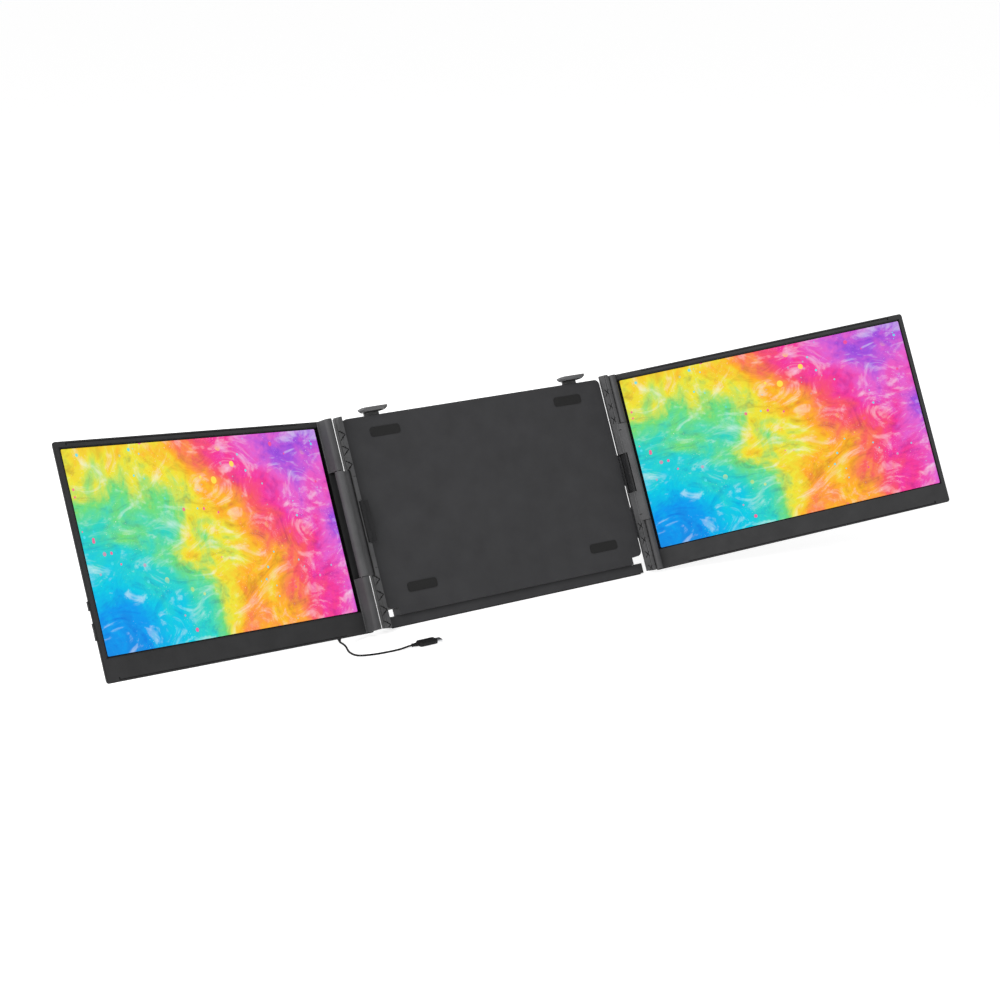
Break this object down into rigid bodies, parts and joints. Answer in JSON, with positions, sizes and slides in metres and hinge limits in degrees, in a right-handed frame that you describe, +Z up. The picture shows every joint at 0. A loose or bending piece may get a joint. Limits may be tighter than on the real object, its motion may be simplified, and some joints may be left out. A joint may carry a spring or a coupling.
{
  "type": "laptop screen extender",
  "caption": "Leaning centre unit that hooks onto a laptop's lid, with a hinged screen on a sliding arm at each side, rear stand and captive cord",
  "frame": {"origin": "middle of the rubber foot strip's face on the desk", "axes": "+X to the right as the user sees it, +Y back behind the laptop, +Z up from the desk"},
  "size_m": [1.0548, 0.2201, 0.2586],
  "materials": {
    "shell": "matt black-grey",
    "stand_plate": "anodised dark grey",
    "steel": "bare",
    "plates": "bare",
    "soft": "matt black",
    "screen_glass": "black, lit",
    "light_guide": "white",
    "board": "green solder mask",
    "button": "black",
    "screws": "black"
  },
  "bodies": {
    "centre_unit": {"centre_frame": "shell", "rear_cover": "shell", "lid_pads": "soft", "slide_guides": "button", "joining_board": "board", "foot_strip": "soft", "cover_screws": "screws", "stand_brackets": "steel", "stand_pins": "steel"},
    "rear_stand": {"stand": "stand_plate", "stand_foot": "soft"},
    "left_hook": {"left_hook": "shell", "left_hook_pad": "soft"},
    "right_hook": {"right_hook": "shell", "right_hook_pad": "soft"},
    "left_arm": {"left_upper_column": "shell", "left_lower_column": "shell", "left_hinge_block": "shell", "left_slide_plates": "plates", "left_hinge_shafts": "steel", "left_torque_washers": "steel", "left_clip_pin": "steel"},
    "left_clip": {"left_clip": "shell", "left_clip_pad": "soft"},
    "left_screen": {"left_bezel": "shell", "left_hinge_lugs": "shell", "left_display": "screen_glass", "left_backlight": "light_guide", "left_screen_back": "shell", "left_driver_board": "board", "left_ports": "steel", "left_back_screws": "screws", "strain_relief": "soft", "cord": "soft", "cord_plug": "soft", "plug_tip": "steel"},
    "left_power_button": {"left_power_button": "button"},
    "left_menu_rocker": {"left_menu_rocker": "button"},
    "right_arm": {"right_upper_column": "shell", "right_lower_column": "shell", "right_hinge_block": "shell", "right_slide_plates": "plates", "right_hinge_shafts": "steel", "right_torque_washers": "steel", "right_clip_pin": "steel"},
    "right_clip": {"right_clip": "shell", "right_clip_pad": "soft"},
    "right_screen": {"right_bezel": "shell", "right_hinge_lugs": "shell", "right_display": "screen_glass", "right_backlight": "light_guide", "right_screen_back": "shell", "right_driver_board": "board", "right_ports": "steel", "right_back_screws": "screws"},
    "right_power_button": {"right_power_button": "button"},
    "right_menu_rocker": {"right_menu_rocker": "button"}
  },
  "joints": [
    {"name": "stand_hinge", "type": "hinge", "parent": "centre_unit", "child": "rear_stand", "pos_m": [0, 0.05675, 0.1107], "axis": [1, 0, 0], "range_deg": [-45, 0]},
    {"name": "left_hook_slide", "type": "slide", "parent": "centre_unit", "child": "left_hook", "axis": [0, 0.4226, 0.9063], "range_m": [0, 0.03]},
    {"name": "right_hook_slide", "type": "slide", "parent": "centre_unit", "child": "right_hook", "axis": [0, 0.4226, 0.9063], "range_m": [0, 0.03]},
    {"name": "left_arm_slide", "type": "slide", "parent": "centre_unit", "child": "left_arm", "axis": [-1, 0, 0], "range_m": [0, 0.035]},
    {"name": "left_clip_hinge", "type": "hinge", "parent": "left_arm", "child": "left_clip", "pos_m": [-0.172, 0.03351, 0.10819], "axis": [0, 0.4226, 0.9063], "range_deg": [0, 90]},
    {"name": "left_screen_hinge", "type": "hinge", "parent": "left_arm", "child": "left_screen", "pos_m": [-0.19, 0.02961, 0.11001], "axis": [0, 0.4226, 0.9063], "range_deg": [-20, 160]},
    {"name": "left_power_button_press", "type": "slide", "parent": "left_screen", "child": "left_power_button", "axis": [0.9397, 0.31, -0.1445], "range_m": [0, 0.0005], "stiffness_N_per_m": 1500, "springref_m": -0.0006},
    {"name": "left_menu_rocker_press", "type": "slide", "parent": "left_screen", "child": "left_menu_rocker", "axis": [0.9397, 0.31, -0.1445], "range_m": [0, 0.0005], "stiffness_N_per_m": 1500, "springref_m": -0.0006},
    {"name": "right_arm_slide", "type": "slide", "parent": "centre_unit", "child": "right_arm", "axis": [1, 0, 0], "range_m": [0, 0.035]},
    {"name": "right_clip_hinge", "type": "hinge", "parent": "right_arm", "child": "right_clip", "pos_m": [0.172, 0.03351, 0.10819], "axis": [0, 0.4226, 0.9063], "range_deg": [0, 90]},
    {"name": "right_screen_hinge", "type": "hinge", "parent": "right_arm", "child": "right_screen", "pos_m": [0.1789, 0.03324, 0.10831], "axis": [0, -0.4226, -0.9063], "range_deg": [-19.6, 160.4]},
    {"name": "right_power_button_press", "type": "slide", "parent": "right_screen", "child": "right_power_button", "axis": [-0.9421, 0.304, -0.1418], "range_m": [0, 0.0005], "stiffness_N_per_m": 1500, "springref_m": -0.0006},
    {"name": "right_menu_rocker_press", "type": "slide", "parent": "right_screen", "child": "right_menu_rocker", "axis": [-0.9421, 0.304, -0.1418], "range_m": [0, 0.0005], "stiffness_N_per_m": 1500, "springref_m": -0.0006}
  ]
}
